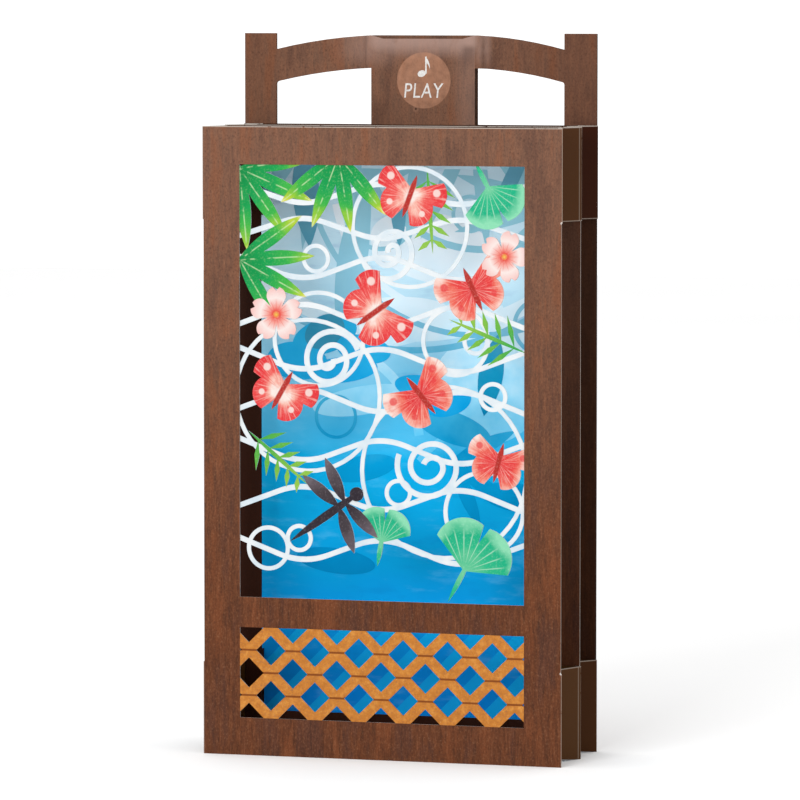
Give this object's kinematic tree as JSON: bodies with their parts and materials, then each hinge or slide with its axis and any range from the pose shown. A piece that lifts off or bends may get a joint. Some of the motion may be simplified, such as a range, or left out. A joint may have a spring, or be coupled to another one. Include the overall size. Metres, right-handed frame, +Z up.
{
  "type": "pop-up lantern greeting card",
  "caption": "Standing greeting card shaped as a box lantern: layered paper frames held apart by folded side bands, a cut-paper picture, a lattice, a handle and a push-to-play sound unit.",
  "frame": {"origin": "middle of the footprint, on the surface the card stands on", "axes": "+X to the card's right as the viewer faces its picture, +Y from front to back, +Z up"},
  "size_m": [0.1158, 0.0408, 0.2234],
  "materials": {
    "front_print": "matt wood-grain print on white board",
    "picture_print": "matt colour print on white board",
    "middle_print": "matt dark brown print",
    "back_print": "matt print, wood grain and blue water",
    "cover_print": "matt brown print",
    "brass": "satin",
    "ceramic": "silvered, matt",
    "foam": "soft white foam",
    "board": "green solder resist",
    "resin": "black resin",
    "steel": "satin",
    "clip_steel": "satin",
    "switch_black": "matt",
    "plunger_white": "matt"
  },
  "bodies": {
    "card": {"front_panel": "front_print", "picture_sheet": "picture_print", "middle_panel": "middle_print", "back_panel": "back_print", "back_cover": "cover_print", "sounder_plate": "brass", "sounder_ceramic": "ceramic", "foam_ring": "foam", "circuit_board": "board", "chip_cover": "resin", "coin_cell": "steel", "cell_clip": "clip_steel", "switch_housing": "switch_black"},
    "plunger": {"switch_plunger": "plunger_white"}
  },
  "joints": [
    {"name": "push_switch", "type": "slide", "parent": "card", "child": "plunger", "axis": [0, 1, 0], "range_m": [0, 0.00025], "stiffness_N_per_m": 2000, "springref_m": -0.0002}
  ]
}
